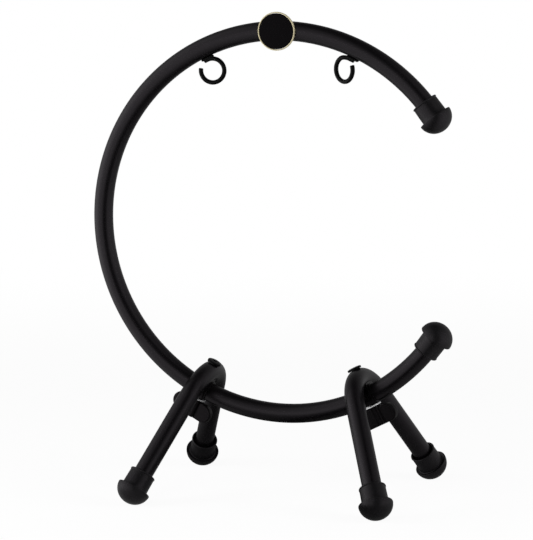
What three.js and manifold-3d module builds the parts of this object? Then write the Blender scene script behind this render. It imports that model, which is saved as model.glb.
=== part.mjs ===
// Gong stand: a ring of steel tube, open on one side, held upright by two arched tube legs.
// Millimetres, Z up. The ring lies in the XZ plane and opens towards +X; Y runs from front to back.

import * as THREE from "three";
import { mergeVertices } from "three/addons/utils/BufferGeometryUtils.js";
import Module from "manifold-3d";

const wasm = await Module();
wasm.setup();

const DEGREE = Math.PI / 180;

// Clearance between pieces that touch on the real stand
const FIT_GAP = 0.3;

// How far the cutting tools reach past what they cut
const CUT_MARGIN = 10;

// Round steel tube of the ring and of both legs
const TUBE_DIAMETER = 25.4;
const TUBE_WALL = 1.5;

// Ring: radius of the tube's centre line, and angle from +X to each of the tube's two ends
const RING_RADIUS = 252.3;
const RING_HALF_OPENING = 35 * DEGREE;

// Rubber ferrule on every tube end: a collar round the tube, a wider shoulder and a dome
const FERRULE_WALL = 4.6;
const FERRULE_SHOULDER = 5;
const FERRULE_COLLAR_LENGTH = 23.5;
const FERRULE_DOME_HEIGHT = 21;
const FERRULE_LIP = 1.5;
const FERRULE_UNDERCUT = 0.8;
const FERRULE_BOTTOM = 1.7;
const FOOT_FLAT_DEPTH = 0.7;

// Leg arch: bolt angle from the ring's lowest point, lean from vertical, half spread, bend and shank
const CLAMP_ANGLE = 27.33 * DEGREE;
const LEG_LEAN = 23.93 * DEGREE;
const LEG_SPREAD = 31.9 * DEGREE;
const LEG_BEND_RADIUS = 63.7;
const LEG_SHANK_LENGTH = 138.7;

// Saddle between arch and ring: web under the arch, half lengths along the ring, walls and wrap
const SADDLE_WEB = 0.8;
const SADDLE_HALF_LENGTH = 9.3;
const SADDLE_LIP_LENGTH = 2.7;
const SADDLE_WALL = 3;
const SADDLE_LIP_WALL = 1.6;
const SADDLE_WRAP = 135 * DEGREE;

// Bolt through arch, saddle and ring, with a wide head let into a pressed seat in the arch;
// its shank reaches into the knob
const BOLT_DIAMETER = 8;
const BOLT_REACH = 20.5;
const BOLT_TIP_CHAMFER = 0.9;
const BOLT_HEAD_DIAMETER = 19;
const BOLT_HEAD_HEIGHT = 3.8;
const BOLT_HEAD_CHAMFER = 0.8;
const BOLT_SOCKET_ACROSS_FLATS = 5;
const BOLT_SOCKET_DEPTH = 1.8;
const HEAD_SEAT_DEPTH = 1.2;

// Washer between ring and knob
const WASHER_DIAMETER = 23.5;
const WASHER_THICKNESS = 1.6;

// Wing knob with a threaded metal insert; the wings' middle lies below the knob's top
const KNOB_HUB_DIAMETER = 21.4;
const KNOB_FLUTE_DEPTH = 1.4;
const KNOB_FLUTES = 8;
const KNOB_BORE_SPARE = 2.7;
const KNOB_END_WALL = 2.6;
const KNOB_WING_SPAN = 59.5;
const KNOB_WING_HEIGHT = 24;
const KNOB_WING_THICKNESS = 8.5;
const KNOB_WING_DROP = 14.5;
const KNOB_TURNS = { left: -7 * DEGREE, right: -11 * DEGREE };
const INSERT_DIAMETER = 12;
const INSERT_LENGTH = 14;

// Hooks welded under the ring's upper arc: angles from its highest point, loop, opening and turn
const HOOK_ANGLES = { left: 25.2 * DEGREE, right: 23.2 * DEGREE };
const HOOK_RADIUS = 15.7;
const HOOK_WIRE_DIAMETER = 6;
const HOOK_GAP_ANGLES = { left: 54 * DEGREE, right: 45 * DEGREE };
const HOOK_TAIL_LENGTHS = { left: 5, right: 8 };
const HOOK_TWIST_ANGLE = 60 * DEGREE;
const HOOK_TURNS = { left: -7 * DEGREE, right: 30 * DEGREE };
const WELD_LENGTH = 17;
const WELD_WIDTH = 7;
const WELD_HEIGHT = 6;
const WELD_SHIFTS = { left: -1, right: 4.5 };
const WELD_LIFT = 1.7;

// Blank badge on the front of the ring's highest point
const BADGE_DIAMETER = 50;
const BADGE_RIM_WIDTH = 1.5;
const BADGE_RIM_HEIGHT = 3.4;
const BADGE_RIM_PROUD = 0.5;
const BADGE_PLATE_THICKNESS = 1.8;
const BADGE_PAD_DIAMETER = 44;
const BADGE_PAD_WEB = 1;
const BADGE_PAD_DEPTH = 6;

// Facets
const TUBE_SIDES = 16;
const TUBE_BORE_SIDES = 10;
const RING_STEPS = 58;
const ARCH_BEND_STEPS = 14;
const FERRULE_SIDES = 20;
const FERRULE_DOME_STEPS = 6;
const FERRULE_LIP_STEPS = 2;
const FERRULE_BORE_STEPS = 12;
const ROUND_SIDES = 16;
const DISC_SIDES = 36;
const WIRE_SIDES = 8;
const HOOK_LOOP_STEPS = 30;
const HOOK_TAIL_STEPS = 2;
const WELD_SIDES = 12;
const WELD_RINGS = 6;
const SOCKET_SIDES = 6;
const FLUTE_STEPS = 4;
const WING_END_STEPS = 12;

// Sizes that follow from the ones above
const TUBE_RADIUS = TUBE_DIAMETER / 2;
const SLEEVE_RADIUS = TUBE_RADIUS + FIT_GAP;
const BOLT_HOLE_RADIUS = BOLT_DIAMETER / 2 + FIT_GAP;
const CROWN_HEIGHT = 2 * SLEEVE_RADIUS + SADDLE_WEB;
const HEAD_SEAT_HEIGHT = CROWN_HEIGHT + TUBE_RADIUS - HEAD_SEAT_DEPTH;
const WASHER_TOP = -SLEEVE_RADIUS;
const KNOB_TOP = WASHER_TOP - WASHER_THICKNESS - FIT_GAP;
const BOLT_TIP = KNOB_TOP - BOLT_REACH;
const KNOB_BORE_BOTTOM = BOLT_TIP - KNOB_BORE_SPARE;
const KNOB_BOTTOM = KNOB_BORE_BOTTOM - KNOB_END_WALL;
const LEG_HALF_BEND = Math.PI / 2 - LEG_SPREAD;
const FERRULE_COLLAR_RADIUS = SLEEVE_RADIUS + FERRULE_WALL;
const FERRULE_RIM_RADIUS = FERRULE_COLLAR_RADIUS + FERRULE_SHOULDER;
const ARCH_STEPS = ARCH_BEND_STEPS + 2;
const HOOK_STEPS = HOOK_LOOP_STEPS + HOOK_TAIL_STEPS;
const HOOK_LIFT = RING_RADIUS - SLEEVE_RADIUS - HOOK_WIRE_DIAMETER / 2 - HOOK_RADIUS;
const SIDES = { left: -1, right: 1 };
const ENDS = { front: -1, back: 1 };

// Materials

const FINISHES = {
  powderCoat: { color: 0x1b1b1d, roughness: 0.42, metalness: 0.1 },
  rubber: { color: 0x1d1d1e, roughness: 0.72, metalness: 0 },
  mouldedPlastic: { color: 0x121213, roughness: 0.5, metalness: 0 },
  blackSteel: { color: 0x17171a, roughness: 0.38, metalness: 0.6 },
  zincSteel: { color: 0xcfd0d2, roughness: 0.28, metalness: 0.95 },
  threadedSteel: { color: 0xa9a59a, roughness: 0.4, metalness: 0.9 },
  badgeFace: { color: 0x101012, roughness: 0.3, metalness: 0.1 },
  paleBrass: { color: 0xcdb98a, roughness: 0.3, metalness: 0.9 },
};

function piece(name, geometry, finish) {
  const mesh = new THREE.Mesh(geometry, new THREE.MeshStandardMaterial(FINISHES[finish]));
  mesh.name = name;
  return mesh;
}

// Solids: closed geometries go to the boolean library and come back

function toSolid(geometry) {
  const bare = geometry.clone();
  bare.deleteAttribute("normal");
  bare.deleteAttribute("uv");
  const merged = mergeVertices(bare);
  const corners = merged.index.array;
  const triangles = [];
  for (let i = 0; i < corners.length; i += 3) {
    const [a, b, c] = corners.slice(i, i + 3);
    if (a !== b && b !== c && c !== a) {
      triangles.push(a, b, c);
    }
  }
  return new wasm.Manifold(new wasm.Mesh({
    numProp: 3,
    vertProperties: merged.attributes.position.array,
    triVerts: new Uint32Array(triangles),
  }));
}

function toGeometry(solid) {
  const mesh = solid.getMesh();
  const geometry = new THREE.BufferGeometry();
  geometry.setAttribute("position", new THREE.BufferAttribute(mesh.vertProperties, 3));
  geometry.setIndex(new THREE.BufferAttribute(mesh.triVerts, 1));
  geometry.computeVertexNormals();
  return geometry;
}

// Moves a geometry from the frame of one object to the frame of another
function between(geometry, from, to) {
  from.updateWorldMatrix(true, false);
  to.updateWorldMatrix(true, false);
  const change = to.matrixWorld.clone().invert().multiply(from.matrixWorld);
  return geometry.clone().applyMatrix4(change);
}

// Shapes shared by several pieces

function polygon(radius, sides) {
  const points = [];
  for (let i = 0; i < sides; i += 1) {
    const angle = (2 * Math.PI * i) / sides;
    points.push(new THREE.Vector2(radius * Math.cos(angle), radius * Math.sin(angle)));
  }
  return points;
}

// Round bar, or a tube where a bore is given, swept along a path
function sweep(path, steps, radius, sides, boreRadius = 0) {
  const section = new THREE.Shape(polygon(radius, sides));
  if (boreRadius > 0) {
    section.holes.push(new THREE.Path(polygon(boreRadius, TUBE_BORE_SIDES)));
  }
  return new THREE.ExtrudeGeometry(section, { steps, bevelEnabled: false, extrudePath: path });
}

// Turned body on the local Z axis, from [radius, height] pairs that run upwards
function turned(profile, sides) {
  const points = profile.map(([radius, height]) => new THREE.Vector2(radius, height));
  return new THREE.LatheGeometry(points, sides).rotateX(Math.PI / 2);
}

function rod(radius, bottom, top, sides) {
  return turned([[0, bottom], [radius, bottom], [radius, top], [0, top]], sides);
}

function turnedRing(innerRadius, outerRadius, bottom, top, sides) {
  const corners = [
    [innerRadius, bottom],
    [outerRadius, bottom],
    [outerRadius, top],
    [innerRadius, top],
    [innerRadius, bottom],
  ];
  return turned(corners, sides);
}

// Paths, with their stations evenly spread over the parameter

class RingArc extends THREE.Curve {
  constructor(radius, from, to) {
    super();
    this.radius = radius;
    this.from = from;
    this.to = to;
  }

  getPoint(t, target = new THREE.Vector3()) {
    const angle = THREE.MathUtils.lerp(this.from, this.to, t);
    return target.set(this.radius * Math.cos(angle), 0, this.radius * Math.sin(angle));
  }

  getUtoTmapping(u) {
    return u;
  }
}

// Front shank in one step, the bend in equal steps, back shank in one step
class ArchPath extends THREE.Curve {
  getPoint(t, target = new THREE.Vector3()) {
    const place = t * ARCH_STEPS - 1;
    const onBend = THREE.MathUtils.clamp(place, 0, ARCH_BEND_STEPS);
    const angle = THREE.MathUtils.lerp(-LEG_HALF_BEND, LEG_HALF_BEND, onBend / ARCH_BEND_STEPS);
    const along = (place - onBend) * LEG_SHANK_LENGTH;
    const y = LEG_BEND_RADIUS * Math.sin(angle) + along * Math.sin(LEG_SPREAD);
    const z = LEG_BEND_RADIUS * (Math.cos(angle) - 1) - Math.abs(along) * Math.cos(LEG_SPREAD);
    return target.set(0, y, z);
  }

  getUtoTmapping(u) {
    return u;
  }
}

// Loop from the free tip round to the weld, then a short tail along the inside of the ring
class HookPath extends THREE.Curve {
  constructor(name) {
    super();
    this.side = SIDES[name];
    this.weldAngle = Math.PI / 2 - HOOK_ANGLES[name];
    this.turn = HOOK_TURNS[name];
    this.gapAngle = HOOK_GAP_ANGLES[name];
    this.tailLength = HOOK_TAIL_LENGTHS[name];
  }

  getPoint(t, target = new THREE.Vector3()) {
    const place = t * HOOK_STEPS;
    const onLoop = Math.min(place, HOOK_LOOP_STEPS) / HOOK_LOOP_STEPS;
    const onTail = Math.max(place - HOOK_LOOP_STEPS, 0) / HOOK_TAIL_STEPS;
    if (onTail > 0) {
      const tailRadius = HOOK_LIFT + HOOK_RADIUS;
      const angle = this.weldAngle - (onTail * this.tailLength) / tailRadius;
      const outward = tailRadius * Math.cos(angle) - HOOK_LIFT * Math.cos(this.weldAngle);
      const up = tailRadius * Math.sin(angle) - HOOK_LIFT * Math.sin(this.weldAngle);
      return target.set(this.side * outward, 0, up);
    }
    const fromWeld = (2 * Math.PI - this.gapAngle) * (1 - onLoop);
    const angle = this.weldAngle + fromWeld;
    const turn = this.turn * THREE.MathUtils.smoothstep(fromWeld, 0, HOOK_TWIST_ANGLE);
    const outward = HOOK_RADIUS * Math.cos(angle);
    const depth = -outward * Math.sin(turn) * this.side;
    return target.set(this.side * outward * Math.cos(turn), depth, HOOK_RADIUS * Math.sin(angle));
  }

  getUtoTmapping(u) {
    return u;
  }
}

// Frames: the stand, and for each leg a clamp on the ring with Z along the bolt and a leaning arch

const stand = new THREE.Group();

function makeClamp(side) {
  const clamp = new THREE.Group();
  const sideways = side * RING_RADIUS * Math.sin(CLAMP_ANGLE);
  clamp.position.set(sideways, 0, -RING_RADIUS * Math.cos(CLAMP_ANGLE));
  clamp.rotation.y = -side * CLAMP_ANGLE;
  stand.add(clamp);
  return clamp;
}

function makeArch(clamp, side) {
  const arch = new THREE.Group();
  arch.position.z = CROWN_HEIGHT;
  arch.rotation.y = side * (CLAMP_ANGLE - LEG_LEAN);
  clamp.add(arch);
  return arch;
}

const clamps = { left: makeClamp(SIDES.left), right: makeClamp(SIDES.right) };
const arches = {
  left: makeArch(clamps.left, SIDES.left),
  right: makeArch(clamps.right, SIDES.right),
};

// Tools that cut what fits round the ring, the arches and the bolts

const ringPath = new RingArc(RING_RADIUS, RING_HALF_OPENING, 2 * Math.PI - RING_HALF_OPENING);
const archPath = new ArchPath();
const ringSleeve = sweep(ringPath, RING_STEPS, SLEEVE_RADIUS, TUBE_SIDES);
const archSleeve = sweep(archPath, ARCH_STEPS, SLEEVE_RADIUS, TUBE_SIDES);
const boltHole = rod(BOLT_HOLE_RADIUS, KNOB_BOTTOM, HEAD_SEAT_HEIGHT + CUT_MARGIN, ROUND_SIDES);

// Ring tube, drilled through for the two bolts

function ringTube() {
  const tube = sweep(ringPath, RING_STEPS, TUBE_RADIUS, TUBE_SIDES, TUBE_RADIUS - TUBE_WALL);
  let solid = toSolid(tube);
  for (const clamp of Object.values(clamps)) {
    solid = solid.subtract(toSolid(between(boltHole, clamp, stand)));
  }
  return piece("ring_tube", toGeometry(solid), "powderCoat");
}

stand.add(ringTube());

// Ferrules: the solid outer form, with its shoulder at height 0 and its dome upwards

function ferruleForm() {
  const mouth = -FERRULE_COLLAR_LENGTH;
  const profile = [[0, mouth]];
  for (let i = 0; i <= FERRULE_LIP_STEPS; i += 1) {
    const angle = (Math.PI / 2) * (i / FERRULE_LIP_STEPS);
    const inset = FERRULE_LIP * (1 - Math.sin(angle));
    profile.push([FERRULE_COLLAR_RADIUS - inset, mouth + FERRULE_LIP * (1 - Math.cos(angle))]);
  }
  profile.push([FERRULE_COLLAR_RADIUS, FERRULE_UNDERCUT]);
  for (let i = 0; i <= FERRULE_DOME_STEPS; i += 1) {
    const angle = (Math.PI / 2) * (i / FERRULE_DOME_STEPS);
    const radius = i < FERRULE_DOME_STEPS ? FERRULE_RIM_RADIUS * Math.cos(angle) : 0;
    profile.push([radius, FERRULE_DOME_HEIGHT * Math.sin(angle)]);
  }
  return turned(profile, FERRULE_SIDES);
}

// Cap on a ring end, laid along the chord of the tube that it grips; the tube curves in its bore
function ringCap(name, end) {
  const shoulder = RING_HALF_OPENING - FERRULE_BOTTOM / RING_RADIUS;
  const middle = shoulder + FERRULE_COLLAR_LENGTH / RING_RADIUS / 2;
  const place = new THREE.Group();
  place.position.x = RING_RADIUS * Math.cos(shoulder);
  place.position.z = end * RING_RADIUS * Math.sin(shoulder);
  place.rotation.y = end > 0 ? Math.PI - middle : middle;
  stand.add(place);
  const from = RING_HALF_OPENING - FIT_GAP / RING_RADIUS;
  const to = shoulder + (FERRULE_COLLAR_LENGTH + CUT_MARGIN) / RING_RADIUS;
  const borePath = new RingArc(RING_RADIUS, end * from, end * to);
  const bore = sweep(borePath, FERRULE_BORE_STEPS, SLEEVE_RADIUS, TUBE_SIDES);
  const solid = toSolid(ferruleForm()).subtract(toSolid(between(bore, stand, place)));
  place.add(piece(name, toGeometry(solid), "rubber"));
}

ringCap("ring_cap_upper", 1);
ringCap("ring_cap_lower", -1);

// Hooks, each with the weld that holds it to the ring

for (const [name, side] of Object.entries(SIDES)) {
  const place = new THREE.Group();
  place.position.x = side * HOOK_LIFT * Math.sin(HOOK_ANGLES[name]);
  place.position.z = HOOK_LIFT * Math.cos(HOOK_ANGLES[name]);
  stand.add(place);
  const wire = sweep(new HookPath(name), HOOK_STEPS, HOOK_WIRE_DIAMETER / 2, WIRE_SIDES);
  const bead = new THREE.SphereGeometry(1, WELD_SIDES, WELD_RINGS);
  bead.scale(WELD_LENGTH / 2, WELD_WIDTH / 2, WELD_HEIGHT / 2);
  bead.translate(side * WELD_SHIFTS[name], 0, HOOK_RADIUS + WELD_LIFT);
  bead.rotateY(side * HOOK_ANGLES[name]);
  const sleeve = between(ringSleeve, stand, place);
  const solid = toSolid(wire).add(toSolid(bead)).subtract(toSolid(sleeve));
  place.add(piece(`hook_${name}`, toGeometry(solid), "blackSteel"));
}

// Badge: a pad hollowed to the tube, a plain disc on it and a thin rim round the disc

const badge = new THREE.Group();
badge.position.z = RING_RADIUS;
badge.rotation.x = Math.PI / 2;
stand.add(badge);

const padFront = SLEEVE_RADIUS + BADGE_PAD_WEB;
const plateBack = padFront + FIT_GAP;
const plateFront = plateBack + BADGE_PLATE_THICKNESS;
const rimInnerRadius = BADGE_DIAMETER / 2 - BADGE_RIM_WIDTH;
const rimFront = plateFront + BADGE_RIM_PROUD;

const padForm = rod(BADGE_PAD_DIAMETER / 2, padFront - BADGE_PAD_DEPTH, padFront, DISC_SIDES);
const padSolid = toSolid(padForm).subtract(toSolid(between(ringSleeve, stand, badge)));
badge.add(piece("badge_pad", toGeometry(padSolid), "mouldedPlastic"));

const plateForm = rod(rimInnerRadius - FIT_GAP, plateBack, plateFront, DISC_SIDES);
badge.add(piece("badge_plate", toGeometry(toSolid(plateForm)), "badgeFace"));

const rimForm = turnedRing(
  rimInnerRadius,
  BADGE_DIAMETER / 2,
  rimFront - BADGE_RIM_HEIGHT,
  rimFront,
  DISC_SIDES,
);
badge.add(piece("badge_rim", toGeometry(toSolid(rimForm)), "paleBrass"));

// Leg arch: a bent tube drilled for the bolt, with a pressed flat seat under the bolt's head

function leg(name, clamp, arch) {
  const tube = sweep(archPath, ARCH_STEPS, TUBE_RADIUS, TUBE_SIDES, TUBE_RADIUS - TUBE_WALL);
  const outer = sweep(archPath, ARCH_STEPS, TUBE_RADIUS, TUBE_SIDES);
  const seatRadius = BOLT_HEAD_DIAMETER / 2 + FIT_GAP;
  const seatCut = rod(seatRadius, HEAD_SEAT_HEIGHT, HEAD_SEAT_HEIGHT + CUT_MARGIN, ROUND_SIDES);
  const seatFloor = rod(seatRadius, HEAD_SEAT_HEIGHT - TUBE_WALL, HEAD_SEAT_HEIGHT, ROUND_SIDES);
  const floor = toSolid(outer).intersect(toSolid(between(seatFloor, clamp, arch)));
  const solid = toSolid(tube)
    .subtract(toSolid(between(seatCut, clamp, arch)))
    .add(floor)
    .subtract(toSolid(between(boltHole, clamp, arch)));
  arch.add(piece(name, toGeometry(solid), "powderCoat"));
}

// Height of the floor: the lowest point of the tilted dome, less the flat that it stands on
function floorHeight(arch) {
  const shoulder = archPath.getPoint(1);
  shoulder.y += FERRULE_BOTTOM * Math.sin(LEG_SPREAD);
  shoulder.z -= FERRULE_BOTTOM * Math.cos(LEG_SPREAD);
  arch.updateWorldMatrix(true, false);
  const height = arch.localToWorld(shoulder).z;
  const tilt = Math.acos(Math.cos(LEG_LEAN) * Math.cos(LEG_SPREAD));
  const reach = Math.hypot(
    FERRULE_RIM_RADIUS * Math.sin(tilt),
    FERRULE_DOME_HEIGHT * Math.cos(tilt),
  );
  return height - reach + FOOT_FLAT_DEPTH;
}

// Foot ferrule, bored for the shank and cut flat where it meets the floor
function foot(name, arch, end) {
  const reach = LEG_SHANK_LENGTH + FERRULE_BOTTOM;
  const bendY = LEG_BEND_RADIUS * Math.sin(LEG_HALF_BEND);
  const bendZ = LEG_BEND_RADIUS * (Math.cos(LEG_HALF_BEND) - 1);
  const place = new THREE.Group();
  place.position.y = end * (bendY + reach * Math.sin(LEG_SPREAD));
  place.position.z = bendZ - reach * Math.cos(LEG_SPREAD);
  place.rotation.x = Math.PI + end * LEG_SPREAD;
  arch.add(place);
  const mouth = -FERRULE_COLLAR_LENGTH - CUT_MARGIN;
  const bore = rod(SLEEVE_RADIUS, mouth, FIT_GAP - FERRULE_BOTTOM, FERRULE_SIDES);
  const span = 2 * (FERRULE_RIM_RADIUS + CUT_MARGIN);
  const ground = new THREE.BoxGeometry(span, span, span);
  place.updateWorldMatrix(true, false);
  const under = new THREE.Vector3().setFromMatrixPosition(place.matrixWorld);
  ground.translate(under.x, under.y, floorHeight(arch) - span / 2);
  const solid = toSolid(ferruleForm())
    .subtract(toSolid(bore))
    .subtract(toSolid(between(ground, stand, place)));
  place.add(piece(name, toGeometry(solid), "rubber"));
}

// Saddle: hollowed to the arch above and to the ring below, which it wraps from above

function saddle(name, clamp, arch) {
  const length = SADDLE_HALF_LENGTH + SADDLE_LIP_LENGTH;
  const bodyRadius = SLEEVE_RADIUS + SADDLE_WALL;
  const lip = rod(SLEEVE_RADIUS + SADDLE_LIP_WALL, -length, length, DISC_SIDES);
  const body = rod(bodyRadius, -SADDLE_HALF_LENGTH, SADDLE_HALF_LENGTH, DISC_SIDES);
  lip.rotateY(Math.PI / 2);
  body.rotateY(Math.PI / 2);
  const cradle = new THREE.BoxGeometry(2 * SADDLE_HALF_LENGTH, TUBE_DIAMETER, CROWN_HEIGHT);
  cradle.translate(0, 0, CROWN_HEIGHT / 2);
  const reach = bodyRadius + CUT_MARGIN;
  const opening = new THREE.Shape([
    new THREE.Vector2(0, 0),
    new THREE.Vector2(-reach * Math.sin(SADDLE_WRAP), reach * Math.cos(SADDLE_WRAP)),
    new THREE.Vector2(reach * Math.sin(SADDLE_WRAP), reach * Math.cos(SADDLE_WRAP)),
  ]);
  const depth = 2 * (length + CUT_MARGIN);
  const gap = new THREE.ExtrudeGeometry(opening, { depth, bevelEnabled: false });
  gap.translate(0, 0, -depth / 2);
  gap.rotateX(Math.PI / 2);
  gap.rotateZ(Math.PI / 2);
  const solid = toSolid(lip)
    .add(toSolid(body))
    .add(toSolid(cradle))
    .subtract(toSolid(between(ringSleeve, stand, clamp)))
    .subtract(toSolid(between(archSleeve, arch, clamp)))
    .subtract(toSolid(gap))
    .subtract(toSolid(boltHole));
  clamp.add(piece(name, toGeometry(solid), "mouldedPlastic"));
}

// Bolt: plain shank with a chamfered tip, and a wide head with a hexagon socket

function bolt(name, clamp) {
  const under = HEAD_SEAT_HEIGHT + FIT_GAP;
  const top = under + BOLT_HEAD_HEIGHT;
  const radius = BOLT_DIAMETER / 2;
  const headRadius = BOLT_HEAD_DIAMETER / 2;
  const form = turned([
    [0, BOLT_TIP],
    [radius - BOLT_TIP_CHAMFER, BOLT_TIP],
    [radius, BOLT_TIP + BOLT_TIP_CHAMFER],
    [radius, under],
    [headRadius, under],
    [headRadius, top - BOLT_HEAD_CHAMFER],
    [headRadius - BOLT_HEAD_CHAMFER, top],
    [0, top],
  ], ROUND_SIDES);
  const socketRadius = BOLT_SOCKET_ACROSS_FLATS / 2 / Math.cos(Math.PI / SOCKET_SIDES);
  const socket = rod(socketRadius, top - BOLT_SOCKET_DEPTH, top + CUT_MARGIN, SOCKET_SIDES);
  clamp.add(piece(name, toGeometry(toSolid(form).subtract(toSolid(socket))), "blackSteel"));
}

function washer(name, clamp) {
  const bottom = WASHER_TOP - WASHER_THICKNESS;
  const ring = turnedRing(BOLT_HOLE_RADIUS, WASHER_DIAMETER / 2, bottom, WASHER_TOP, FERRULE_SIDES);
  clamp.add(piece(name, toGeometry(toSolid(ring)), "zincSteel"));
}

// Wing knob: a hub with rounded ribs and one plate with round ends that forms both wings

function flutedOutline() {
  const points = [];
  const count = KNOB_FLUTES * FLUTE_STEPS;
  for (let i = 0; i < count; i += 1) {
    const angle = (2 * Math.PI * i) / count;
    const depth = KNOB_FLUTE_DEPTH * (1 - Math.abs(Math.cos((KNOB_FLUTES * angle) / 2)));
    const radius = KNOB_HUB_DIAMETER / 2 - depth;
    points.push(new THREE.Vector2(radius * Math.cos(angle), radius * Math.sin(angle)));
  }
  return points;
}

function wingOutline() {
  const endRadius = KNOB_WING_HEIGHT / 2;
  const endCentre = KNOB_WING_SPAN / 2 - endRadius;
  const outline = new THREE.Shape();
  outline.absarc(endCentre, 0, endRadius, -Math.PI / 2, Math.PI / 2, false);
  outline.absarc(-endCentre, 0, endRadius, Math.PI / 2, (3 * Math.PI) / 2, false);
  return outline;
}

function knob(name, clamp, turn) {
  const hub = new THREE.ExtrudeGeometry(new THREE.Shape(flutedOutline()), {
    depth: KNOB_TOP - KNOB_BOTTOM,
    bevelEnabled: false,
  });
  hub.translate(0, 0, KNOB_BOTTOM);
  const wings = new THREE.ExtrudeGeometry(wingOutline(), {
    depth: KNOB_WING_THICKNESS,
    bevelEnabled: false,
    curveSegments: WING_END_STEPS,
  });
  wings.translate(0, 0, -KNOB_WING_THICKNESS / 2);
  wings.rotateX(Math.PI / 2);
  wings.translate(0, 0, KNOB_TOP - KNOB_WING_DROP);
  const pocketBottom = KNOB_TOP - INSERT_LENGTH - FIT_GAP;
  const above = KNOB_TOP + CUT_MARGIN;
  const pocket = rod(INSERT_DIAMETER / 2 + FIT_GAP, pocketBottom, above, ROUND_SIDES);
  const bore = rod(BOLT_HOLE_RADIUS, KNOB_BORE_BOTTOM, above, ROUND_SIDES);
  const solid = toSolid(hub).add(toSolid(wings)).subtract(toSolid(pocket)).subtract(toSolid(bore));
  const mesh = piece(name, toGeometry(solid), "mouldedPlastic");
  mesh.rotation.z = turn;
  clamp.add(mesh);
}

function knobInsert(name, clamp) {
  const bottom = KNOB_TOP - INSERT_LENGTH;
  const sleeve = turnedRing(BOLT_HOLE_RADIUS, INSERT_DIAMETER / 2, bottom, KNOB_TOP, ROUND_SIDES);
  clamp.add(piece(name, toGeometry(toSolid(sleeve)), "threadedSteel"));
}

for (const side of Object.keys(SIDES)) {
  leg(`leg_${side}`, clamps[side], arches[side]);
  for (const [end, direction] of Object.entries(ENDS)) {
    foot(`foot_${side}_${end}`, arches[side], direction);
  }
  saddle(`saddle_${side}`, clamps[side], arches[side]);
  bolt(`bolt_${side}`, clamps[side]);
  washer(`washer_${side}`, clamps[side]);
  knob(`knob_${side}`, clamps[side], KNOB_TURNS[side]);
  knobInsert(`knob_insert_${side}`, clamps[side]);
}

// Origin on the floor, under the middle of the whole stand

const box = new THREE.Box3().setFromObject(stand, true);
const middle = box.getCenter(new THREE.Vector3());
stand.position.set(-middle.x, -middle.y, -box.min.z);

export default stand;
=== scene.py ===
import math

import bpy
from mathutils import Matrix, Vector


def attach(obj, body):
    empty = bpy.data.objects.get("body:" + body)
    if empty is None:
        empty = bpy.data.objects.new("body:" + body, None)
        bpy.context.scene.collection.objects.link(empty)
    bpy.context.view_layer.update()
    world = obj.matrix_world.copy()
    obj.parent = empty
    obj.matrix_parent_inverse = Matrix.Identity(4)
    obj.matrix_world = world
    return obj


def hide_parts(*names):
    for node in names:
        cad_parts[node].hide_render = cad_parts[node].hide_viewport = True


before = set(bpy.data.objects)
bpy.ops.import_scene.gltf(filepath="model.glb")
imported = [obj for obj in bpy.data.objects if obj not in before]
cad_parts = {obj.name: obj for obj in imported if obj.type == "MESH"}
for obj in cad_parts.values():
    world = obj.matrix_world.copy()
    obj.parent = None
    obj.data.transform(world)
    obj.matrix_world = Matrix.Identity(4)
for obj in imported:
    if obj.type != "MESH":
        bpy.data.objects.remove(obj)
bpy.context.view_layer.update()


# Camera and studio: the stand is looked at from the front, a little from the right and from above,
# on a white floor. Pale screens stand round it on both sides, with a dark gap for the camera, and
# three soft lamps light it.

class Value:
    """A socket whose arithmetic adds Math nodes."""

    def __init__(self, recipe, socket):
        self.recipe, self.socket = recipe, socket

    def maths(self, operation, first, second):
        return self.recipe.node("ShaderNodeMath", {"operation": operation}, {0: first, 1: second})

    def __add__(self, other):
        return self.maths("ADD", self, other)

    def __sub__(self, other):
        return self.maths("SUBTRACT", self, other)

    def __rsub__(self, other):
        return self.maths("SUBTRACT", other, self)

    def __mul__(self, other):
        return self.maths("MULTIPLY", self, other)

    def __rpow__(self, other):
        return self.maths("POWER", other, self)

    __radd__, __rmul__ = __add__, __mul__


class Recipe:
    """The nodes of one finish, lamp or sky."""

    def __init__(self, owner):
        owner.use_nodes = True
        self.owner, self.tree = owner, owner.node_tree
        self.tree.nodes.clear()

    def node(self, kind, settings=None, inputs=None, output=0):
        made = self.tree.nodes.new(kind)
        for name, value in (settings or {}).items():
            if name == "stops":
                for _ in value[2:]:
                    made.color_ramp.elements.new(0.5)
                for element, (place, shade) in zip(made.color_ramp.elements, value):
                    element.position, element.color = place, (shade, shade, shade, 1)
            else:
                setattr(made, name, value)
        for name, value in (inputs or {}).items():
            if isinstance(value, Value):
                self.tree.links.new(value.socket, made.inputs[name])
            else:
                made.inputs[name].default_value = value
        return Value(self, made.outputs[output]) if len(made.outputs) else made

    def blend(self, share, first, second):
        return self.node(
            "ShaderNodeMix", {"data_type": "RGBA"}, {0: share, 6: first, 7: second}, 2
        )

    def finish(self, kind, shader):
        self.node(kind, {}, {"Surface": shader})
        return self.owner


scene = bpy.context.scene
scene.view_settings.view_transform = "Standard"

camera = bpy.data.objects.new("camera", bpy.data.cameras.new("camera"))
scene.collection.objects.link(camera)
scene.camera = camera
forward = Vector((-0.324952, 0.935262, -0.140324)).normalized()
right = Vector((0.945094, 0.326582, -0.011902)).normalized()
turn = Matrix((right, right.cross(forward), -forward)).transposed()
camera.matrix_world = Matrix.Translation((1.172791, -3.398951, 0.803612)) @ turn.to_4x4()
camera.data.lens = 184.11
camera.data.shift_x = 0.00439
camera.data.shift_y = 0.00268
camera.data.clip_end = 200

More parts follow.
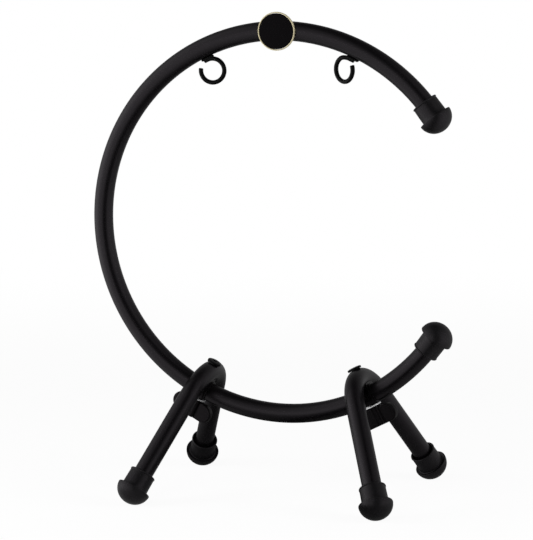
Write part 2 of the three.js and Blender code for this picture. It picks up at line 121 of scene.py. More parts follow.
SCREEN_LIGHT = 1.3
GAP_WAY, SIDE_WAY = Vector((0.47, -0.883, 0)), Vector((0.883, 0.47, 0))
SCREENS = [
    (0, 0.20), (0.09, 0.22), (0.17, 0.72), (0.225, 1.0), (0.28, 0.78), (0.34, 0.56), (0.40, 0.55),
    (0.455, 0.03), (0.53, 0.03), (0.58, 0.38), (0.62, 0.48), (0.70, 0.42), (0.80, 0.28), (1, 0.20),
]


def screens(recipe, way):
    """How pale the screens are all round, from the back by the left and the dark gap in front."""
    ahead, aside = (
        recipe.node(
            "ShaderNodeVectorMath", {"operation": "DOT_PRODUCT"}, {0: way, 1: axis}, "Value"
        )
        for axis in (GAP_WAY, SIDE_WAY)
    )
    round_place = aside.maths("ARCTAN2", aside, ahead) * (0.5 / math.pi) + 0.5
    return recipe.node("ShaderNodeValToRGB", {"stops": SCREENS}, {"Fac": round_place})


def seen(recipe):
    """One for what the camera sees, also through something clear."""
    return (
        recipe.node("ShaderNodeLightPath", output="Is Camera Ray")
        + recipe.node("ShaderNodeLightPath", output="Is Transmission Ray")
    )


SKY_FADE = [(0.2, 1), (0.45, 0.72), (0.8, 0.45), (0.95, 0.1)]
sky = Recipe(bpy.data.worlds.new("sky"))
way = sky.node("ShaderNodeTexCoord", output="Generated")
height = sky.node("ShaderNodeSeparateXYZ", {}, {"Vector": way}, "Z")
low = sky.node("ShaderNodeValToRGB", {"stops": SKY_FADE}, {"Fac": height})
shade = sky.blend(seen(sky), screens(sky, way) * low * SCREEN_LIGHT, (1, 1, 1, 1))
scene.world = sky.finish(
    "ShaderNodeOutputWorld", sky.node("ShaderNodeBackground", {}, {"Color": shade, "Strength": 1})
)


def soft_lamp(name, place, aim, width, height, watts):
    lamp = bpy.data.lights.new(name, "AREA")
    lamp.shape, lamp.size, lamp.size_y, lamp.energy = "RECTANGLE", width, height, watts
    holder = bpy.data.objects.new(name, lamp)
    holder.location = place
    holder.rotation_euler = (Vector(aim) - Vector(place)).to_track_quat("-Z", "Y").to_euler()
    holder.visible_camera = holder.visible_glossy = False
    scene.collection.objects.link(holder)


soft_lamp("lamp_left", (-1.15, -0.70, 0.62), (0, 0, 0.32), 0.6, 1.0, 15)
soft_lamp("lamp_right", (1.40, -0.10, 0.62), (0, 0, 0.32), 0.6, 1.0, 15)
soft_lamp("lamp_front", (-0.15, -1.60, 0.85), (0, 0, 0.30), 0.7, 0.5, 9)

floor_mesh = bpy.data.meshes.new("floor")
floor_mesh.from_pydata([(-60, -60, 0), (60, -60, 0), (60, 60, 0), (-60, 60, 0)], [], [(0, 1, 2, 3)])
floor = bpy.data.objects.new("floor", floor_mesh)
scene.collection.objects.link(floor)
ground = Recipe(bpy.data.materials.new("floor"))
where = ground.node("ShaderNodeTexCoord", output="Object")
away = ground.node("ShaderNodeVectorMath", {"operation": "LENGTH"}, {0: where}, "Value")
far = ground.node(
    "ShaderNodeMapRange", {"interpolation_type": "SMOOTHSTEP"},
    {"Value": away, "From Min": 0.6, "From Max": 2.2, "To Min": 0.94, "To Max": 1},
)
lit = ground.node("ShaderNodeBsdfDiffuse", {}, {"Color": (0.85, 0.85, 0.85, 1)})
white = ground.node("ShaderNodeEmission", {}, {"Color": (1, 1, 1, 1), "Strength": 1})
dark = ground.node("ShaderNodeEmission", {}, {"Color": (1, 1, 1, 1), "Strength": 0})
pale = ground.node("ShaderNodeEmission", {}, {"Color": (1, 1, 1, 1), "Strength": SCREEN_LIGHT})
# For glossy rays the floor shows the screens, darkened towards the stand as a painted shadow.
mirrored = ground.node(
    "ShaderNodeMixShader", {}, {0: screens(ground, where) * (1 - 0.15 ** away), 1: dark, 2: pale}
)
floor_mesh.materials.append(ground.finish("ShaderNodeOutputMaterial", ground.node(
    "ShaderNodeMixShader", {}, {
        0: ground.node("ShaderNodeLightPath", output="Is Glossy Ray"),
        1: ground.node("ShaderNodeMixShader", {}, {0: seen(ground) * far, 1: lit, 2: white}),
        2: mirrored,
    },
)))


# Ring: one length of 1 inch round steel tube, rolled to an arc of 290 degrees that is open on the
# right, drilled for the two clamp bolts and powder coated in satin black.

MM = 0.001
FIT = 0.3
TUBE_RADIUS, WALL = 12.7, 1.5
TUBE_BORE, SLEEVE_RADIUS = TUBE_RADIUS - WALL, TUBE_RADIUS + FIT
RING_RADIUS, RING_GAP = 252.3, math.radians(35)
CLAMP_ANGLE, LEG_LEAN, CROWN_HEIGHT = math.radians(27.33), math.radians(23.93), 26.8
BOLT_RADIUS = 4.0
BOLT_HOLE = BOLT_RADIUS + FIT
X_WAY, Y_WAY = Vector((1, 0, 0)), Vector((0, 1, 0))
ring_place = Matrix.Translation((17.71222573, 0, 357.68588364))
SIDES = {"left": -1, "right": 1}


def circle(count, radius, middle, across, up):
    turns = [2 * math.pi * i / count for i in range(count)]
    return [middle + across * radius * math.cos(a) + up * radius * math.sin(a) for a in turns]


def steps(low, high, count):
    return [low + (high - low) * i / count for i in range(count + 1)]


def clamp_place(side):
    at = (side * RING_RADIUS * math.sin(CLAMP_ANGLE), 0, -RING_RADIUS * math.cos(CLAMP_ANGLE))
    lean = Matrix.Rotation(-side * CLAMP_ANGLE, 4, "Y")
    return ring_place @ Matrix.Translation(at) @ lean


def shape(name, rings, place=Matrix(), joined=False):
    """Skins rings of points with faces, and closes the ends or joins the last ring to the first."""
    count = len(rings[0])
    points = [place @ point * MM for ring in rings for point in ring]
    pairs = list(zip(range(len(rings)), range(1, len(rings))))
    faces = []
    if joined:
        pairs.append((len(rings) - 1, 0))
    else:
        faces.append([i for i in reversed(range(count))])
        faces.append([(len(rings) - 1) * count + i for i in range(count)])
    for low, high in pairs:
        for i in range(count):
            j = (i + 1) % count
            faces.append((low * count + i, low * count + j, high * count + j, high * count + i))
    mesh = bpy.data.meshes.new(name)
    mesh.from_pydata(points, [], faces)
    piece = bpy.data.objects.new(name, mesh)
    scene.collection.objects.link(piece)
    return piece


def turned(name, profile, place=Matrix(), count=64, joined=False):
    """A turned shape on the local Z axis, from (radius, height) pairs."""
    rings = [circle(count, max(r, 0.02), Vector((0, 0, h)), X_WAY, Y_WAY) for r, h in profile]
    return shape(name, rings, place, joined)


def apply(piece, kind, **settings):
    modifier = piece.modifiers.new(kind, kind)
    for name, value in settings.items():
        setattr(modifier, name, value)
    bpy.context.view_layer.update()
    seen_piece = piece.evaluated_get(bpy.context.evaluated_depsgraph_get())
    mesh = bpy.data.meshes.new_from_object(seen_piece)
    piece.modifiers.clear()
    piece.data = mesh
    return piece


def combine(piece, operation, *others):
    for other in others:
        apply(piece, "BOOLEAN", operation=operation, object=other, solver="EXACT")
        bpy.data.objects.remove(other)
    return piece


def drill(piece, place, radius=BOLT_HOLE, low=-60, high=60):
    return combine(piece, "DIFFERENCE", turned("drill", [(radius, low), (radius, high)], place, 48))


def fitted(piece, finish, body, node, sharp=32):
    """Gives a piece its finish, and sets it in the place of its solid."""
    piece.data.materials.clear()
    piece.data.materials.append(finish)
    piece.data.shade_smooth()
    piece.data.set_sharp_from_angle(angle=math.radians(sharp))
    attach(piece, body)
    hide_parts(node)


def speckle(recipe, scale, detail=2.0, roughness=0.5):
    """Noise over the piece, with scale in grains to the metre."""
    where = recipe.node("ShaderNodeTexCoord", output="Object")
    settings = {"Vector": where, "Scale": scale, "Detail": detail, "Roughness": roughness}
    return recipe.node("ShaderNodeTexNoise", {}, settings)


def coated(name, base, roughness, peel, specular, tint=(1, 1, 1, 1)):
    """Powder coat: patches in gloss, orange peel, a fine grain, and a few dull rubbed spots."""
    coat = Recipe(bpy.data.materials.new(name))
    patches = speckle(coat, 24, 3)
    waves = speckle(coat, 620, 1)
    grain = speckle(coat, 2600, 2)
    rubbed = coat.node(
        "ShaderNodeValToRGB", {"stops": [(0.62, 0), (0.74, 1)]}, {"Fac": speckle(coat, 95, 4, 0.7)}
    )
    shade = coat.blend(patches, (*[c * 0.8 for c in base], 1), (*[c * 1.25 for c in base], 1))
    shade = coat.blend(rubbed * 0.25, shade, (*[c * 2.2 for c in base], 1))
    height = waves * 0.8 + grain * 0.2
    bump = coat.node("ShaderNodeBump", {}, {"Strength": 1, "Distance": peel * MM, "Height": height})
    return coat.finish("ShaderNodeOutputMaterial", coat.node("ShaderNodeBsdfPrincipled", {}, {
        "Base Color": shade,
        "Roughness": roughness - 0.05 + patches * 0.08 + grain * 0.04 + rubbed * 0.06,
        "Specular IOR Level": specular,
        "Specular Tint": tint,
        "Normal": bump,
    }))


powder_coat = coated(
    "powder_coat", (0.0024, 0.0021, 0.0025), 0.27, 0.02, 0.38, (1, 0.91, 1, 1)
)


def ring_station(angle):
    outward = Vector((math.cos(angle), 0, math.sin(angle)))
    return outward * RING_RADIUS, outward, Y_WAY


ring_outside = [
    circle(56, TUBE_RADIUS, *ring_station(a)) for a in steps(RING_GAP, 2 * math.pi - RING_GAP, 232)
]
ring_inside = [
    circle(56, TUBE_BORE, *ring_station(a)) for a in steps(2 * math.pi - RING_GAP, RING_GAP, 58)
]
ring = shape("bent_ring", ring_outside + ring_inside, ring_place, joined=True)
for side in SIDES.values():
    drill(ring, clamp_place(side))
fitted(ring, powder_coat, "stand", "ring_tube")


# End caps: rubber ferrules pushed over the two ends of the ring, each a collar with a rolled
# mouth, a wider shoulder that is undercut, and a low dome.

COLLAR_RADIUS, COLLAR_LENGTH, RIM_RADIUS, DOME_HEIGHT = 17.6, 23.5, 22.45, 21.0
BOTTOM, MOUTH_ROLL = 1.7, 1.3


def ferrule_profile():
    mouth = -COLLAR_LENGTH
    profile = [(0, -BOTTOM + FIT), (SLEEVE_RADIUS, -BOTTOM + FIT), (SLEEVE_RADIUS, mouth + 4.4)]
    profile += [(SLEEVE_RADIUS + 0.9, mouth + 2.7), (SLEEVE_RADIUS + 1.6, mouth + 1.6)]
    for a in steps(-2.8, 1.1, 12):
        radius = COLLAR_RADIUS - MOUTH_ROLL * (1 - math.cos(a))
        profile.append((radius, mouth + MOUTH_ROLL * (1 + math.sin(a))))
    profile += [(COLLAR_RADIUS - 0.75, mouth + 2.7), (COLLAR_RADIUS - 0.6, mouth + 4.5)]
    profile += [(COLLAR_RADIUS - 0.3, -6.0), (COLLAR_RADIUS - 0.2, -0.6)]
    profile += [(COLLAR_RADIUS + 0.1, 0.3), (COLLAR_RADIUS + 0.7, 0.7), (RIM_RADIUS - 1.2, 0.25)]
    for a in steps(-math.pi / 2, 0, 5):
        profile.append((RIM_RADIUS - 0.75 + 0.7 * math.cos(a), 0.75 + 0.7 * math.sin(a)))
    for a in steps(0.06, math.pi / 2, 26):
        profile.append((RIM_RADIUS * math.cos(a) - 0.02, DOME_HEIGHT * math.sin(a)))
    return profile


def rubbery(name):
    """Rubber: dull, dusty in patches, with a fine pebbled grain and faint scuffs."""
    rubber = Recipe(bpy.data.materials.new(name))
    dust = speckle(rubber, 60, 5, 0.6)
    pebbles = speckle(rubber, 1500, 3, 0.6)
    shade = rubber.blend(dust, (0.0020, 0.0019, 0.0021, 1), (0.0037, 0.0036, 0.0039, 1))
    shade = rubber.blend(pebbles * 0.3, shade, (0.0060, 0.0060, 0.0065, 1))
    bump = rubber.node(
        "ShaderNodeBump", {}, {"Strength": 1, "Distance": 0.06 * MM, "Height": pebbles + dust * 0.5}
    )
    return rubber.finish("ShaderNodeOutputMaterial", rubber.node("ShaderNodeBsdfPrincipled", {}, {
        "Base Color": shade,
        "Roughness": 0.31 + dust * 0.12,
        "Specular IOR Level": 0.38,
        "Specular Tint": (1, 0.92, 1, 1),
        "Normal": bump,
    }))


rubber_finish = rubbery("rubber")
for name, end in {"upper": 1, "lower": -1}.items():
    shoulder = RING_GAP - BOTTOM / RING_RADIUS
    middle = shoulder + COLLAR_LENGTH / RING_RADIUS / 2
    at = (RING_RADIUS * math.cos(shoulder), 0, end * RING_RADIUS * math.sin(shoulder))
    lean = Matrix.Rotation(math.pi - middle if end > 0 else middle, 4, "Y")
    cap = turned(
        name + "_end_cap", ferrule_profile(), ring_place @ Matrix.Translation(at) @ lean, 72
    )
    fitted(cap, rubber_finish, "stand", "ring_cap_" + name)


# Cord hooks: wire bent to an open loop, with its other end laid along the inside of the ring and
# welded there with a run of beads. The right one is turned a little. The wire has the ring's coat,
# but it is given the bolts' darker finish as painted shade.

HOOK_RADIUS, WIRE_RADIUS = 15.7, 3.0
HOOK_LIFT = RING_RADIUS - SLEEVE_RADIUS - WIRE_RADIUS - HOOK_RADIUS
TWIST_ANGLE, WELD_LIFT = math.radians(60), 1.7
BEAD_ARC = steps(0, math.pi, 10)
HOOKS = {
    "left": {"hang": 25.2, "twist": -7, "gap": 54, "tail": 5, "weld": 1},
    "right": {"hang": 23.2, "twist": 30, "gap": 45, "tail": 8, "weld": -4.5},
}


def hook_point(t, side, hang, twist, gap, tail):
    weld = math.pi / 2 - hang
    if t < 0:
        reach, angle = HOOK_LIFT + HOOK_RADIUS, weld + t * tail / (HOOK_LIFT + HOOK_RADIUS)
        out = reach * math.cos(angle) - HOOK_LIFT * math.cos(weld)
        return Vector((side * out, 0, reach * math.sin(angle) - HOOK_LIFT * math.sin(weld)))
    bent = t * (2 * math.pi - gap)
    ease = min(bent / TWIST_ANGLE, 1)
    swing = twist * ease * ease * (3 - 2 * ease)
    out = HOOK_RADIUS * math.cos(weld + bent)
    up = HOOK_RADIUS * math.sin(weld + bent)
    return Vector((side * out * math.cos(swing), -out * math.sin(swing) * side, up))


def wire_rings(points, radius, count):
    """Rings round a path, each turned as little as it can be from the one before."""
    ahead = [(points[min(i + 1, len(points) - 1)] - points[max(i - 1, 0)]).normalized()
             for i in range(len(points))]
    across = ahead[0].orthogonal().normalized()
    rings = []
    for point, forward_way, width in zip(points, ahead, radius):
        across = (across - forward_way * across.dot(forward_way)).normalized()
        rings.append(circle(count, width, point, across, forward_way.cross(across)))
    return rings


def softened(piece, grain):
    """Rounds every edge of a piece by about one grain, as a mould or a bead of weld does."""
    apply(piece, "REMESH", mode="VOXEL", voxel_size=grain * MM)
    apply(piece, "SMOOTH", factor=0.5, iterations=3)


# Blackened steel for the bolts; on the hooks its darker colour is painted shade.
black_steel = coated("black_steel", (0.0010, 0.0010, 0.0011), 0.26, 0.01, 0.14)
for name, side in SIDES.items():
    hang, twist, gap = (math.radians(HOOKS[name][key]) for key in ("hang", "twist", "gap"))
    stations = steps(-1, 0, 10)[:-1] + steps(0, 1, 130)
    path = [hook_point(t, side, hang, twist, gap, HOOKS[name]["tail"]) for t in stations]
    widths = [WIRE_RADIUS] * len(path)
    widths[0] = widths[-1] = WIRE_RADIUS - 0.35
    at = ring_place @ Matrix.Translation(
        (side * HOOK_LIFT * math.sin(hang), 0, HOOK_LIFT * math.cos(hang))
    )
    hook = shape(name + "_cord_hook", wire_rings(path, widths, 28), at)
    beads = []
    for i, along in enumerate(steps(-7, 7, 10)):
        for edge in (-1, 1):
            across = side * (along - HOOKS[name]["weld"] + 0.25 * math.sin(2.7 * i + edge))
            middle = Vector((across, edge * 1.6, HOOK_RADIUS + WELD_LIFT))
            middle.rotate(Matrix.Rotation(side * hang, 3, "Y"))
            size = 2.2 - 0.008 * along * along + 0.12 * math.cos(3.1 * i)
            profile = [(size * math.sin(a), -0.85 * size * math.cos(a)) for a in BEAD_ARC]
            beads.append(turned("bead", profile, at @ Matrix.Translation(middle), 16))
    combine(hook, "UNION", *beads)
    softened(hook, 0.32)
    fitted(hook, black_steel, "stand", "hook_" + name, 60)


# Badge: a moulded pad hollowed to the ring, a plain black disc on it, and a thin rim of pale brass
# pressed round the disc. The disc is left blank.

BADGE_RADIUS, BADGE_RIM, PAD_RADIUS = 25.0, 1.5, 22.0
PAD_FRONT, PAD_DEPTH = 14.0, 6.0
PLATE_BACK = PAD_FRONT + FIT
PLATE_FRONT = PLATE_BACK + 1.8
RIM_FRONT, RIM_HEIGHT = PLATE_FRONT + 0.5, 3.4
badge_place = (
    ring_place @ Matrix.Translation((0, 0, RING_RADIUS)) @ Matrix.Rotation(math.pi / 2, 4, "X")
)


def rounded(radius, low, high, edge, count=5):
    """Half a turned profile, from the axis at the bottom to the axis at the top."""
    profile = [(0, low)]
    profile += [(radius - edge + edge * math.sin(a), low + edge - edge * math.cos(a))
                for a in steps(0, math.pi / 2, count)]
    profile += [(radius - edge + edge * math.cos(a), high - edge + edge * math.sin(a))
                for a in steps(0, math.pi / 2, count)]
    return profile + [(0, high)]


def moulded(name, base, roughness, specular):
    """Moulded plastic: a spark-eroded grain, flow patches and a slight sheen on rubbed places."""
    plastic = Recipe(bpy.data.materials.new(name))
    flow = speckle(plastic, 110, 3)
    grain = speckle(plastic, 2200, 3, 0.6)
    shade = plastic.blend(flow, (*[c * 0.8 for c in base], 1), (*[c * 1.3 for c in base], 1))
    bump = plastic.node(
        "ShaderNodeBump", {}, {"Strength": 1, "Distance": 0.03 * MM, "Height": grain}
    )
    return plastic.finish("ShaderNodeOutputMaterial", plastic.node("ShaderNodeBsdfPrincipled", {}, {
        "Base Color": shade,
        "Roughness": roughness + flow * 0.1 - 0.05,
        "Specular IOR Level": specular,
        "Specular Tint": (1, 0.88, 0.97, 1),
        "Normal": bump,
    }))


def metal(name, base, roughness, scale, metallic=1.0):
    """Plated metal: fine cloudy marks in its gloss, and small handling scratches."""
    plate = Recipe(bpy.data.materials.new(name))
    clouds = speckle(plate, scale, 4, 0.6)
    where = plate.node("ShaderNodeTexCoord", output="Object")
    stretched = plate.node(
        "ShaderNodeVectorMath", {"operation": "MULTIPLY"}, {0: where, 1: (4000, 600, 900)}
    )
    marks = plate.node("ShaderNodeTexNoise", {}, {"Vector": stretched, "Scale": 1, "Detail": 2})
    shade = plate.blend(clouds, (*[c * 0.8 for c in base], 1), (*base, 1))
    bump = plate.node("ShaderNodeBump", {}, {"Strength": 1, "Distance": 0.01 * MM, "Height": marks})
    return plate.finish("ShaderNodeOutputMaterial", plate.node("ShaderNodeBsdfPrincipled", {}, {
        "Base Color": shade,
        "Metallic": metallic,
        "Roughness": roughness + clouds * 0.12 + marks * 0.06 - 0.08,
        "Normal": bump,
    }))


moulded_plastic = moulded("moulded_plastic", (0.0020, 0.0018, 0.0020), 0.38, 0.20)
badge_face = moulded("badge_face", (0.0010, 0.0009, 0.0010), 0.26, 0.07)
pale_brass = metal("pale_brass", (0.86, 0.77, 0.50), 0.24, 300, 0.7)

pad_profile = rounded(PAD_RADIUS, PAD_FRONT - PAD_DEPTH, PAD_FRONT, 0.6)
pad = turned("badge_back_pad", pad_profile, badge_place, 96)
sleeve = shape(
    "sleeve",
    [circle(64, SLEEVE_RADIUS, *ring_station(math.pi / 2 + a)) for a in steps(-0.2, 0.2, 60)],
    ring_place,
)
combine(pad, "DIFFERENCE", sleeve)
fitted(pad, moulded_plastic, "stand", "badge_pad")

face_radius = BADGE_RADIUS - BADGE_RIM - FIT
plate = turned(
    "badge_blank_disc", rounded(face_radius, PLATE_BACK, PLATE_FRONT, 0.35), badge_place, 96
)
fitted(plate, badge_face, "stand", "badge_plate")

inner, back = BADGE_RADIUS - BADGE_RIM, RIM_FRONT - RIM_HEIGHT
rim_profile = [(inner, back), (BADGE_RADIUS - 0.3, back), (BADGE_RADIUS, back + 0.3)]
rim_profile += [(BADGE_RADIUS, RIM_FRONT - 0.7)]
rim_profile += [(BADGE_RADIUS - 0.75 + 0.75 * math.cos(a), RIM_FRONT - 0.7 + 0.7 * math.sin(a))
                for a in steps(0.2, math.pi, 10)]
rim = turned("badge_brass_rim", rim_profile, badge_place, 128, joined=True)
fitted(rim, pale_brass, "stand", "badge_rim")


# Legs: two lengths of the same tube, each bent to an arch that stands across the ring. A flat seat
# for the bolt's head is pressed into the crown, and the arch is drilled through under it.

LEG_SPREAD, BEND_RADIUS, SHANK = math.radians(31.9), 63.7, 138.7
HALF_BEND = math.pi / 2 - LEG_SPREAD
SEAT_HEIGHT, SEAT_RADIUS = CROWN_HEIGHT + TUBE_RADIUS - 1.2, 9.8


def arch_place(side):
    up = Matrix.Translation((0, 0, CROWN_HEIGHT))
    return clamp_place(side) @ up @ Matrix.Rotation(side * (CLAMP_ANGLE - LEG_LEAN), 4, "Y")


def arch_station(angle, along):
    """The middle of the tube, its sideways direction and its outward one."""
    outward = Vector((0, math.sin(angle), math.cos(angle)))
    run = Vector((0, math.cos(angle), -math.sin(angle)))
    middle = outward * BEND_RADIUS - Vector((0, 0, BEND_RADIUS)) + run * along
    return middle, -X_WAY, outward


def arch_stations(bends, shanks):
    front = [arch_station(-HALF_BEND, a) for a in steps(-SHANK, 0, shanks)[:-1]]
    crown = [arch_station(a, 0) for a in steps(-HALF_BEND, HALF_BEND, bends)]
    return front + crown + [arch_station(HALF_BEND, a) for a in steps(0, SHANK, shanks)[1:]]


def pressed(point, place, height):
    """Pushes a point of the tube down to the flat seat, with a soft edge round it."""
    local = place @ point
    away = math.hypot(local.x, local.y) - SEAT_RADIUS
    limit = height + 0.22 * max(away, 0) ** 2
    if local.z > limit:
        local.z = limit
    return place.inverted() @ local


for name, side in SIDES.items():
    to_clamp = clamp_place(side).inverted() @ arch_place(side)
    outside = [circle(56, TUBE_RADIUS, *s) for s in arch_stations(150, 36)]
    inside = [circle(56, TUBE_BORE, *s) for s in reversed(arch_stations(60, 10))]
    outside = [[pressed(p, to_clamp, SEAT_HEIGHT) for p in loop] for loop in outside]
    inside = [[pressed(p, to_clamp, SEAT_HEIGHT - WALL) for p in loop] for loop in inside]
    leg = shape(name + "_bent_leg", outside + inside, arch_place(side), joined=True)
    drill(leg, clamp_place(side))
    fitted(leg, powder_coat, "stand", "leg_" + name)


# Feet: the same rubber ferrules on the four ends of the legs. Where they stand, the dome is
# pressed flat by the weight.

for name, side in SIDES.items():
    for end_name, end in {"front": -1, "back": 1}.items():
        middle, _, outward = arch_station(end * HALF_BEND, end * (SHANK + BOTTOM))
        lean = Matrix.Rotation(math.pi + end * LEG_SPREAD, 4, "X")
        foot = turned(
            "_".join((name, end_name, "rubber_foot")),
            ferrule_profile(),
            arch_place(side) @ Matrix.Translation(middle) @ lean,
            72,
        )
        for vertex in foot.data.vertices:
            vertex.co.z = max(vertex.co.z, 0)
        fitted(foot, rubber_finish, "stand", "_".join(("foot", name, end_name)))


# Saddles: black mouldings between arch and ring, hollowed to both tubes. Each wraps the ring from
# above, with a thinner lip at both ends that is edged by a fine bead, and is held by the bolt that
# runs through it.

SADDLE_HALF, SADDLE_LIP, SADDLE_WRAP = 9.3, 2.7, math.radians(135)
SADDLE_RADIUS, LIP_RADIUS, BEAD_RADIUS, LIP_BEAD = 16.0, 14.4, 15.4, 0.9
CORNERS = ((-1, -1), (1, -1), (1, 1), (-1, 1))
open_width, open_height = 26 * math.sin(SADDLE_WRAP), 26 * math.cos(SADDLE_WRAP)
OPEN_SIDE = ((0, 0), (-open_width, open_height), (open_width, open_height))
# The saddles' plastic is a darker copy of the knobs' moulded plastic: painted shade for the dark
# gap between arch and ring.
shaded_saddle_plastic = moulded("shaded_saddle_plastic", (0.0012, 0.0011, 0.0012), 0.24, 0.20)
along_ring = Matrix.Rotation(math.pi / 2, 4, "Y")
for name, side in SIDES.items():
    place = clamp_place(side)
    half = SADDLE_HALF + SADDLE_LIP
    lip_profile = [(BEAD_RADIUS, -half), (BEAD_RADIUS, -half + LIP_BEAD)]
    lip_profile += [(LIP_RADIUS, -half + LIP_BEAD + 0.5)]
    lip_profile += [(r, -h) for r, h in reversed(lip_profile)]
    saddle = turned(name + "_saddle", lip_profile, place @ along_ring, 96)
    body_profile = [(SADDLE_RADIUS, -SADDLE_HALF), (SADDLE_RADIUS, SADDLE_HALF)]
    body = turned("body", body_profile, place @ along_ring, 96)
    cradle = shape("cradle", [
        [Vector((SADDLE_HALF * x, TUBE_RADIUS * y, z)) for x, y in CORNERS]
        for z in (0, CROWN_HEIGHT)
    ], place)
    combine(saddle, "UNION", body, cradle)
    clamp_angle = -math.pi / 2 + side * CLAMP_ANGLE
    around = [
        circle(64, SLEEVE_RADIUS, *ring_station(clamp_angle + a)) for a in steps(-0.1, 0.1, 20)
    ]
    over = [circle(64, SLEEVE_RADIUS, *s) for s in arch_stations(80, 1)]
    gap = shape("gap", [[Vector((x, y, z)) for y, z in OPEN_SIDE] for x in (-20, 20)], place)
    combine(
        saddle,
        "DIFFERENCE",
        shape("around", around, ring_place),
        shape("over", over, arch_place(side)),
        gap,
    )
    drill(saddle, place)
    softened(saddle, 0.32)
    fitted(saddle, shaded_saddle_plastic, "stand", "saddle_" + name, 60)


# Clamp bolts: M8 steel, blackened, with a low domed head that has a hexagon socket. Each runs down
# through arch, saddle and ring, and its thread is cut on the lower part only.

PITCH, THREAD_DEPTH, THREAD_LENGTH = 1.25, 0.55, 42.0
HEAD_RADIUS, HEAD_HEIGHT, HEAD_DOME = 9.5, 3.8, 1.4
HEAD_UNDER = SEAT_HEIGHT + FIT
BOLT_TIP = -35.4
SOCKET_ACROSS, SOCKET_DEPTH = 5.0, 1.8


def threaded(low, high, radius, depth, count=40, steps_per_turn=8):
    """Rings with a helical groove that runs out at both ends."""
    rings = []
    for height in steps(low, high, int((high - low) / PITCH * steps_per_turn)):
        fade = min(1, (height - low) / PITCH + 0.2, (high - height) / PITCH)
        ring_points = []
        for i in range(count):
            turn_share = i / count
            phase = (height / PITCH - turn_share) % 1
            groove = depth * fade * (1 - abs(2 * phase - 1))
            angle = 2 * math.pi * turn_share
            width = radius - groove
            ring_points.append(Vector((width * math.cos(angle), width * math.sin(angle), height)))
        rings.append(ring_points)
    return rings


for name, side in SIDES.items():
    tip = circle(40, BOLT_RADIUS - 0.9, Vector((0, 0, BOLT_TIP)), X_WAY, Y_WAY)
    thread = threaded(BOLT_TIP + 0.9, BOLT_TIP + THREAD_LENGTH, BOLT_RADIUS, THREAD_DEPTH)
    top = HEAD_UNDER + HEAD_HEIGHT
    head_profile = [(BOLT_RADIUS, HEAD_UNDER), (HEAD_RADIUS - 0.3, HEAD_UNDER)]
    head_profile += [(HEAD_RADIUS, HEAD_UNDER + 0.3)]
    head_profile += [(HEAD_RADIUS * math.cos(a), top - HEAD_DOME * (1 - math.sin(a)))
                     for a in steps(0, 1.15, 12)]
    head = [circle(40, r, Vector((0, 0, h)), X_WAY, Y_WAY) for r, h in head_profile]
    bolt = shape(name + "_clamp_bolt", [tip] + thread + head, clamp_place(side))
    socket_radius = SOCKET_ACROSS / 2 / math.cos(math.pi / 6)
    socket_profile = [(socket_radius, top - SOCKET_DEPTH), (socket_radius, top + 5)]
    socket = turned("socket", socket_profile, clamp_place(side), 6)
    mouth = turned("mouth", [(2.4, top - 0.5), (3.6, top + 0.7)], clamp_place(side), 40)
    combine(bolt, "DIFFERENCE", socket, mouth)
    fitted(bolt, black_steel, "stand", "bolt_" + name)


# Washers: bright zinc plated steel, stamped, loose on the bolts between ring and knob. They follow
# the knobs as these are screwed down.

WASHER_RADIUS, WASHER_TOP, WASHER_BOTTOM = 11.75, -SLEEVE_RADIUS, -SLEEVE_RADIUS - 1.6
zinc_steel = metal("zinc_steel", (0.92, 0.92, 0.93), 0.26, 400, 0.4)
for name, side in SIDES.items():
    washer = turned(name + "_washer", [
        (BOLT_HOLE + 0.15, WASHER_BOTTOM),
        (WASHER_RADIUS - 0.15, WASHER_BOTTOM),
        (WASHER_RADIUS, WASHER_BOTTOM + 0.15),
        (WASHER_RADIUS, WASHER_TOP - 0.45),
        (WASHER_RADIUS - 0.14, WASHER_TOP - 0.14),
        (WASHER_RADIUS - 0.45, WASHER_TOP),
        (BOLT_HOLE + 0.3, WASHER_TOP),
        (BOLT_HOLE, WASHER_TOP - 0.3),
        (BOLT_HOLE, WASHER_BOTTOM + 0.15),
    ], clamp_place(side), 96, joined=True)
    fitted(washer, zinc_steel, "washer_" + name + "_body", "washer_" + name)


# Wing knobs: black mouldings with a ribbed hub and two flat wings with round ends. A threaded
# metal insert is moulded into the hub's upper end.

KNOB_TOP, KNOB_HEIGHT, HUB_RADIUS, FLUTES, FLUTE_DEPTH = WASHER_BOTTOM - FIT, 25.8, 10.7, 8, 1.4
KNOB_BOTTOM = KNOB_TOP - KNOB_HEIGHT
WING_SPAN, WING_HEIGHT, WING_THICKNESS, WING_DROP = 59.5, 24.0, 8.5, 14.5
INSERT_RADIUS, INSERT_LENGTH, END_WALL = 6.0, 14.0, 2.6
KNOB_TURNS = {"left": math.radians(-7), "right": math.radians(-11)}


def fluted(height, inset):
    points = []
    for i in range(FLUTES * 12):
        angle = 2 * math.pi * i / (FLUTES * 12)
        groove = FLUTE_DEPTH * (1 - abs(math.cos(FLUTES * angle / 2)))
        width = HUB_RADIUS - inset - groove
        points.append(Vector((width * math.cos(angle), width * math.sin(angle), height)))
    return points


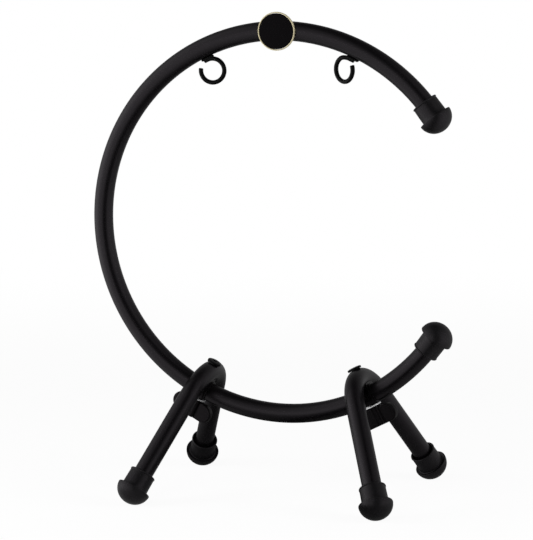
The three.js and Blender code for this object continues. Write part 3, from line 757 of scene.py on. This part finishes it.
def wing_outline(y, inset):
    end = WING_HEIGHT / 2
    middle = WING_SPAN / 2 - end
    points = []
    for way in (1, -1):
        for a in steps(-math.pi / 2, math.pi / 2, 28):
            x = way * (middle + (end - inset) * math.cos(a))
            points.append(Vector((x, y, KNOB_TOP - WING_DROP + way * (end - inset) * math.sin(a))))
    return points


threaded_steel = metal("threaded_steel", (0.62, 0.58, 0.47), 0.3, 500)
for name, side in SIDES.items():
    place = clamp_place(side) @ Matrix.Rotation(KNOB_TURNS[name], 4, "Z")
    edge = 1.0
    hub_levels = [(KNOB_BOTTOM, edge), (KNOB_BOTTOM + 0.3, 0.45), (KNOB_BOTTOM + edge, 0)]
    hub_levels += [(KNOB_TOP - 0.6, 0), (KNOB_TOP - 0.2, 0.2), (KNOB_TOP, 0.6)]
    knob = shape(name + "_wing_knob", [fluted(h, inset) for h, inset in hub_levels], place)
    half = WING_THICKNESS / 2
    wing_levels = [(-half, 1.2), (-half + 0.35, 0.35), (-half + 1.2, 0)]
    wing_levels += [(-y, inset) for y, inset in reversed(wing_levels)]
    wings = shape("wings", [wing_outline(-y, inset) for y, inset in wing_levels], place)
    combine(knob, "UNION", wings)
    drill(knob, place, INSERT_RADIUS + FIT, KNOB_TOP - INSERT_LENGTH - FIT, KNOB_TOP + 5)
    drill(knob, place, BOLT_HOLE, KNOB_BOTTOM + END_WALL, KNOB_TOP + 5)
    softened(knob, 0.3)
    body = "knob_" + name + "_body"
    fitted(knob, moulded_plastic, body, "knob_" + name, 60)

    low = KNOB_TOP - INSERT_LENGTH
    outside = [(INSERT_RADIUS - 0.4, low), (INSERT_RADIUS, low + 0.4)]
    outside += [(INSERT_RADIUS, KNOB_TOP - 0.3), (INSERT_RADIUS - 0.3, KNOB_TOP), (5.2, KNOB_TOP)]
    outer = [circle(40, r, Vector((0, 0, h)), X_WAY, Y_WAY) for r, h in outside]
    bore = list(reversed(threaded(low + 0.1, KNOB_TOP - 0.7, BOLT_HOLE, -THREAD_DEPTH)))
    insert = shape(name + "_threaded_insert", outer + bore, clamp_place(side), joined=True)
    fitted(insert, threaded_steel, body, "knob_insert_" + name)
